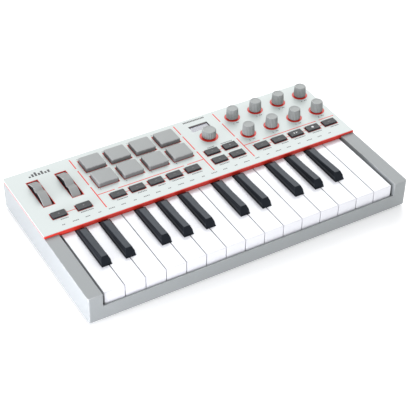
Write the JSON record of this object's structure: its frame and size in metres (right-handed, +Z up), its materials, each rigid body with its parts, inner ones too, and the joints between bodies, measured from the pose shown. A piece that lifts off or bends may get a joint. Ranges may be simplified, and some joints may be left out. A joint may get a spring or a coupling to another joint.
{
  "type": "midi keyboard",
  "caption": "Compact desktop music keyboard controller with mini keys, soft pads, ribbed knobs, pitch and mod wheels, small buttons and a display window.",
  "frame": {"origin": "on the table, under the middle of the case", "axes": "+X along the keys towards the high notes, +Y away from the player towards the sockets, +Z up"},
  "size_m": [0.3308, 0.182, 0.0441],
  "materials": {
    "case_grey": "fine-textured moulded ABS, light grey",
    "panel_white": "satin white sheet with printed lines",
    "carrier_red": "bright red moulded ABS, satin to gloss",
    "key_white": "polished white ABS",
    "key_black": "satin black ABS",
    "pad_grey": "soft matt silicone",
    "button_grey": "charcoal matt plastic",
    "knob_grey": "warm grey soft-touch plastic, ribbed round the side",
    "wheel_grey": "light grey tread on black sides",
    "board_green": "green soldermask on glass-fibre board",
    "screen_grey": "glossy display cover",
    "shaft_steel": "turned steel"
  },
  "bodies": {
    "case": {"bottom_case": "case_grey", "top_case": "carrier_red", "face_panel": "panel_white", "control_board": "board_green", "socket_board": "board_green", "display_module": "screen_grey", "pad_mat": "pad_grey"},
    "white_key_01": {"white_key_01": "key_white"},
    "white_key_02": {"white_key_02": "key_white"},
    "white_key_03": {"white_key_03": "key_white"},
    "white_key_04": {"white_key_04": "key_white"},
    "white_key_05": {"white_key_05": "key_white"},
    "white_key_06": {"white_key_06": "key_white"},
    "white_key_07": {"white_key_07": "key_white"},
    "white_key_08": {"white_key_08": "key_white"},
    "white_key_09": {"white_key_09": "key_white"},
    "white_key_10": {"white_key_10": "key_white"},
    "white_key_11": {"white_key_11": "key_white"},
    "white_key_12": {"white_key_12": "key_white"},
    "white_key_13": {"white_key_13": "key_white"},
    "white_key_14": {"white_key_14": "key_white"},
    "white_key_15": {"white_key_15": "key_white"},
    "black_key_01": {"black_key_01": "key_black"},
    "black_key_02": {"black_key_02": "key_black"},
    "black_key_03": {"black_key_03": "key_black"},
    "black_key_04": {"black_key_04": "key_black"},
    "black_key_05": {"black_key_05": "key_black"},
    "black_key_06": {"black_key_06": "key_black"},
    "black_key_07": {"black_key_07": "key_black"},
    "black_key_08": {"black_key_08": "key_black"},
    "black_key_09": {"black_key_09": "key_black"},
    "black_key_10": {"black_key_10": "key_black"},
    "pitch_wheel": {"pitch_wheel": "wheel_grey"},
    "mod_wheel": {"mod_wheel": "wheel_grey"},
    "knob_1": {"knob_1": "knob_grey"},
    "knob_2": {"knob_2": "knob_grey"},
    "knob_3": {"knob_3": "knob_grey"},
    "knob_4": {"knob_4": "knob_grey"},
    "knob_5": {"knob_5": "knob_grey"},
    "knob_6": {"knob_6": "knob_grey"},
    "knob_7": {"knob_7": "knob_grey"},
    "knob_8": {"knob_8": "knob_grey"},
    "encoder_shaft": {"encoder_shaft": "shaft_steel"},
    "encoder_knob": {"encoder_knob": "knob_grey"},
    "octave_down_button": {"octave_down_button": "button_grey"},
    "octave_up_button": {"octave_up_button": "button_grey"},
    "pad_button_1": {"pad_button_1": "button_grey"},
    "pad_button_2": {"pad_button_2": "button_grey"},
    "pad_button_3": {"pad_button_3": "button_grey"},
    "pad_button_4": {"pad_button_4": "button_grey"},
    "pad_button_5": {"pad_button_5": "button_grey"},
    "menu_button_1": {"menu_button_1": "button_grey"},
    "menu_button_2": {"menu_button_2": "button_grey"},
    "menu_button_3": {"menu_button_3": "button_grey"},
    "menu_button_4": {"menu_button_4": "button_grey"},
    "transport_button_1": {"transport_button_1": "button_grey"},
    "transport_button_2": {"transport_button_2": "button_grey"},
    "transport_button_3": {"transport_button_3": "button_grey"},
    "transport_button_4": {"transport_button_4": "button_grey"},
    "transport_button_5": {"transport_button_5": "button_grey"}
  },
  "joints": [
    {"name": "pitch_wheel_turn", "type": "hinge", "parent": "case", "child": "pitch_wheel", "pos_m": [-0.14393, 0.05442, 0.0097], "axis": [1, 0, 0], "range_deg": [-25, 25], "stiffness_Nm_per_rad": 0.05},
    {"name": "mod_wheel_turn", "type": "hinge", "parent": "case", "child": "mod_wheel", "pos_m": [-0.11523, 0.05442, 0.0097], "axis": [1, 0, 0], "range_deg": [-36, 14]},
    {"name": "encoder_press", "type": "slide", "parent": "case", "child": "encoder_shaft", "axis": [0, 0, -1], "range_m": [0, 0.0005], "stiffness_N_per_m": 300, "springref_m": -0.0015},
    {"name": "encoder_turn", "type": "hinge", "parent": "encoder_shaft", "child": "encoder_knob", "pos_m": [0.03611, 0.05626, 0.04], "axis": [0, 0, 1], "continuous": true},
    {"name": "white_key_08_press", "type": "hinge", "parent": "case", "child": "white_key_08", "pos_m": [0, 0.0085, 0.0205], "axis": [1, 0, 0], "range_deg": [0, 2], "stiffness_Nm_per_rad": 0.8, "springref_deg": -2.29},
    {"name": "black_key_05_press", "type": "hinge", "parent": "case", "child": "black_key_05", "pos_m": [-0.02785, 0.0085, 0.0205], "axis": [1, 0, 0], "range_deg": [0, 2.5], "stiffness_Nm_per_rad": 0.8, "springref_deg": -2.29},
    {"name": "white_key_01_press", "type": "hinge", "parent": "case", "child": "white_key_01", "pos_m": [-0.1393, 0.0085, 0.0205], "axis": [1, 0, 0], "range_deg": [0, 2], "stiffness_Nm_per_rad": 0.8, "springref_deg": -2.29},
    {"name": "black_key_01_press", "type": "hinge", "parent": "case", "child": "black_key_01", "pos_m": [-0.13125, 0.0085, 0.0205], "axis": [1, 0, 0], "range_deg": [0, 2.5], "stiffness_Nm_per_rad": 0.8, "springref_deg": -2.29},
    {"name": "white_key_15_press", "type": "hinge", "parent": "case", "child": "white_key_15", "pos_m": [0.1393, 0.0085, 0.0205], "axis": [1, 0, 0], "range_deg": [0, 2], "stiffness_Nm_per_rad": 0.8, "springref_deg": -2.29},
    {"name": "black_key_10_press", "type": "hinge", "parent": "case", "child": "black_key_10", "pos_m": [0.11145, 0.0085, 0.0205], "axis": [1, 0, 0], "range_deg": [0, 2.5], "stiffness_Nm_per_rad": 0.8, "springref_deg": -2.29},
    {"name": "octave_down_button_press", "type": "slide", "parent": "case", "child": "octave_down_button", "axis": [0, 0, -1], "range_m": [0, 0.0008], "stiffness_N_per_m": 150, "springref_m": -0.002},
    {"name": "pad_button_3_press", "type": "slide", "parent": "case", "child": "pad_button_3", "axis": [0, 0, -1], "range_m": [0, 0.0008], "stiffness_N_per_m": 150, "springref_m": -0.002},
    {"name": "menu_button_1_press", "type": "slide", "parent": "case", "child": "menu_button_1", "axis": [0, 0, -1], "range_m": [0, 0.0008], "stiffness_N_per_m": 150, "springref_m": -0.002},
    {"name": "transport_button_3_press", "type": "slide", "parent": "case", "child": "transport_button_3", "axis": [0, 0, -1], "range_m": [0, 0.0008], "stiffness_N_per_m": 150, "springref_m": -0.002},
    {"name": "knob_1_turn", "type": "hinge", "parent": "case", "child": "knob_1", "pos_m": [0.07255, 0.07303, 0.04], "axis": [0, 0, 1], "continuous": true},
    {"name": "knob_7_turn", "type": "hinge", "parent": "case", "child": "knob_7", "pos_m": [0.12606, 0.04243, 0.04], "axis": [0, 0, 1], "continuous": true},
    {"name": "white_key_02_press", "type": "hinge", "parent": "case", "child": "white_key_02", "pos_m": [-0.1194, 0.0085, 0.0205], "axis": [1, 0, 0], "range_deg": [0, 2], "stiffness_Nm_per_rad": 0.8, "springref_deg": -2.29},
    {"name": "white_key_03_press", "type": "hinge", "parent": "case", "child": "white_key_03", "pos_m": [-0.0995, 0.0085, 0.0205], "axis": [1, 0, 0], "range_deg": [0, 2], "stiffness_Nm_per_rad": 0.8, "springref_deg": -2.29},
    {"name": "white_key_04_press", "type": "hinge", "parent": "case", "child": "white_key_04", "pos_m": [-0.0796, 0.0085, 0.0205], "axis": [1, 0, 0], "range_deg": [0, 2], "stiffness_Nm_per_rad": 0.8, "springref_deg": -2.29},
    {"name": "white_key_05_press", "type": "hinge", "parent": "case", "child": "white_key_05", "pos_m": [-0.0597, 0.0085, 0.0205], "axis": [1, 0, 0], "range_deg": [0, 2], "stiffness_Nm_per_rad": 0.8, "springref_deg": -2.29},
    {"name": "white_key_06_press", "type": "hinge", "parent": "case", "child": "white_key_06", "pos_m": [-0.0398, 0.0085, 0.0205], "axis": [1, 0, 0], "range_deg": [0, 2], "stiffness_Nm_per_rad": 0.8, "springref_deg": -2.29},
    {"name": "white_key_07_press", "type": "hinge", "parent": "case", "child": "white_key_07", "pos_m": [-0.0199, 0.0085, 0.0205], "axis": [1, 0, 0], "range_deg": [0, 2], "stiffness_Nm_per_rad": 0.8, "springref_deg": -2.29},
    {"name": "white_key_09_press", "type": "hinge", "parent": "case", "child": "white_key_09", "pos_m": [0.0199, 0.0085, 0.0205], "axis": [1, 0, 0], "range_deg": [0, 2], "stiffness_Nm_per_rad": 0.8, "springref_deg": -2.29},
    {"name": "white_key_10_press", "type": "hinge", "parent": "case", "child": "white_key_10", "pos_m": [0.0398, 0.0085, 0.0205], "axis": [1, 0, 0], "range_deg": [0, 2], "stiffness_Nm_per_rad": 0.8, "springref_deg": -2.29},
    {"name": "white_key_11_press", "type": "hinge", "parent": "case", "child": "white_key_11", "pos_m": [0.0597, 0.0085, 0.0205], "axis": [1, 0, 0], "range_deg": [0, 2], "stiffness_Nm_per_rad": 0.8, "springref_deg": -2.29},
    {"name": "white_key_12_press", "type": "hinge", "parent": "case", "child": "white_key_12", "pos_m": [0.0796, 0.0085, 0.0205], "axis": [1, 0, 0], "range_deg": [0, 2], "stiffness_Nm_per_rad": 0.8, "springref_deg": -2.29},
    {"name": "white_key_13_press", "type": "hinge", "parent": "case", "child": "white_key_13", "pos_m": [0.0995, 0.0085, 0.0205], "axis": [1, 0, 0], "range_deg": [0, 2], "stiffness_Nm_per_rad": 0.8, "springref_deg": -2.29},
    {"name": "white_key_14_press", "type": "hinge", "parent": "case", "child": "white_key_14", "pos_m": [0.1194, 0.0085, 0.0205], "axis": [1, 0, 0], "range_deg": [0, 2], "stiffness_Nm_per_rad": 0.8, "springref_deg": -2.29},
    {"name": "black_key_02_press", "type": "hinge", "parent": "case", "child": "black_key_02", "pos_m": [-0.10805, 0.0085, 0.0205], "axis": [1, 0, 0], "range_deg": [0, 2.5], "stiffness_Nm_per_rad": 0.8, "springref_deg": -2.29},
    {"name": "black_key_03_press", "type": "hinge", "parent": "case", "child": "black_key_03", "pos_m": [-0.07255, 0.0085, 0.0205], "axis": [1, 0, 0], "range_deg": [0, 2.5], "stiffness_Nm_per_rad": 0.8, "springref_deg": -2.29},
    {"name": "black_key_04_press", "type": "hinge", "parent": "case", "child": "black_key_04", "pos_m": [-0.05045, 0.0085, 0.0205], "axis": [1, 0, 0], "range_deg": [0, 2.5], "stiffness_Nm_per_rad": 0.8, "springref_deg": -2.29},
    {"name": "black_key_06_press", "type": "hinge", "parent": "case", "child": "black_key_06", "pos_m": [0.00805, 0.0085, 0.0205], "axis": [1, 0, 0], "range_deg": [0, 2.5], "stiffness_Nm_per_rad": 0.8, "springref_deg": -2.29},
    {"name": "black_key_07_press", "type": "hinge", "parent": "case", "child": "black_key_07", "pos_m": [0.03125, 0.0085, 0.0205], "axis": [1, 0, 0], "range_deg": [0, 2.5], "stiffness_Nm_per_rad": 0.8, "springref_deg": -2.29},
    {"name": "black_key_08_press", "type": "hinge", "parent": "case", "child": "black_key_08", "pos_m": [0.06675, 0.0085, 0.0205], "axis": [1, 0, 0], "range_deg": [0, 2.5], "stiffness_Nm_per_rad": 0.8, "springref_deg": -2.29},
    {"name": "black_key_09_press", "type": "hinge", "parent": "case", "child": "black_key_09", "pos_m": [0.08885, 0.0085, 0.0205], "axis": [1, 0, 0], "range_deg": [0, 2.5], "stiffness_Nm_per_rad": 0.8, "springref_deg": -2.29},
    {"name": "octave_up_button_press", "type": "slide", "parent": "case", "child": "octave_up_button", "axis": [0, 0, -1], "range_m": [0, 0.0008], "stiffness_N_per_m": 150, "springref_m": -0.002},
    {"name": "pad_button_1_press", "type": "slide", "parent": "case", "child": "pad_button_1", "axis": [0, 0, -1], "range_m": [0, 0.0008], "stiffness_N_per_m": 150, "springref_m": -0.002},
    {"name": "pad_button_2_press", "type": "slide", "parent": "case", "child": "pad_button_2", "axis": [0, 0, -1], "range_m": [0, 0.0008], "stiffness_N_per_m": 150, "springref_m": -0.002},
    {"name": "pad_button_4_press", "type": "slide", "parent": "case", "child": "pad_button_4", "axis": [0, 0, -1], "range_m": [0, 0.0008], "stiffness_N_per_m": 150, "springref_m": -0.002},
    {"name": "pad_button_5_press", "type": "slide", "parent": "case", "child": "pad_button_5", "axis": [0, 0, -1], "range_m": [0, 0.0008], "stiffness_N_per_m": 150, "springref_m": -0.002},
    {"name": "menu_button_2_press", "type": "slide", "parent": "case", "child": "menu_button_2", "axis": [0, 0, -1], "range_m": [0, 0.0008], "stiffness_N_per_m": 150, "springref_m": -0.002},
    {"name": "menu_button_3_press", "type": "slide", "parent": "case", "child": "menu_button_3", "axis": [0, 0, -1], "range_m": [0, 0.0008], "stiffness_N_per_m": 150, "springref_m": -0.002},
    {"name": "menu_button_4_press", "type": "slide", "parent": "case", "child": "menu_button_4", "axis": [0, 0, -1], "range_m": [0, 0.0008], "stiffness_N_per_m": 150, "springref_m": -0.002},
    {"name": "transport_button_1_press", "type": "slide", "parent": "case", "child": "transport_button_1", "axis": [0, 0, -1], "range_m": [0, 0.0008], "stiffness_N_per_m": 150, "springref_m": -0.002},
    {"name": "transport_button_2_press", "type": "slide", "parent": "case", "child": "transport_button_2", "axis": [0, 0, -1], "range_m": [0, 0.0008], "stiffness_N_per_m": 150, "springref_m": -0.002},
    {"name": "transport_button_4_press", "type": "slide", "parent": "case", "child": "transport_button_4", "axis": [0, 0, -1], "range_m": [0, 0.0008], "stiffness_N_per_m": 150, "springref_m": -0.002},
    {"name": "transport_button_5_press", "type": "slide", "parent": "case", "child": "transport_button_5", "axis": [0, 0, -1], "range_m": [0, 0.0008], "stiffness_N_per_m": 150, "springref_m": -0.002},
    {"name": "knob_2_turn", "type": "hinge", "parent": "case", "child": "knob_2", "pos_m": [0.09931, 0.07303, 0.04], "axis": [0, 0, 1], "continuous": true},
    {"name": "knob_3_turn", "type": "hinge", "parent": "case", "child": "knob_3", "pos_m": [0.12606, 0.07303, 0.04], "axis": [0, 0, 1], "continuous": true},
    {"name": "knob_4_turn", "type": "hinge", "parent": "case", "child": "knob_4", "pos_m": [0.15281, 0.07303, 0.04], "axis": [0, 0, 1], "continuous": true},
    {"name": "knob_5_turn", "type": "hinge", "parent": "case", "child": "knob_5", "pos_m": [0.07255, 0.04243, 0.04], "axis": [0, 0, 1], "continuous": true},
    {"name": "knob_6_turn", "type": "hinge", "parent": "case", "child": "knob_6", "pos_m": [0.09931, 0.04243, 0.04], "axis": [0, 0, 1], "continuous": true},
    {"name": "knob_8_turn", "type": "hinge", "parent": "case", "child": "knob_8", "pos_m": [0.15281, 0.04243, 0.04], "axis": [0, 0, 1], "continuous": true}
  ]
}
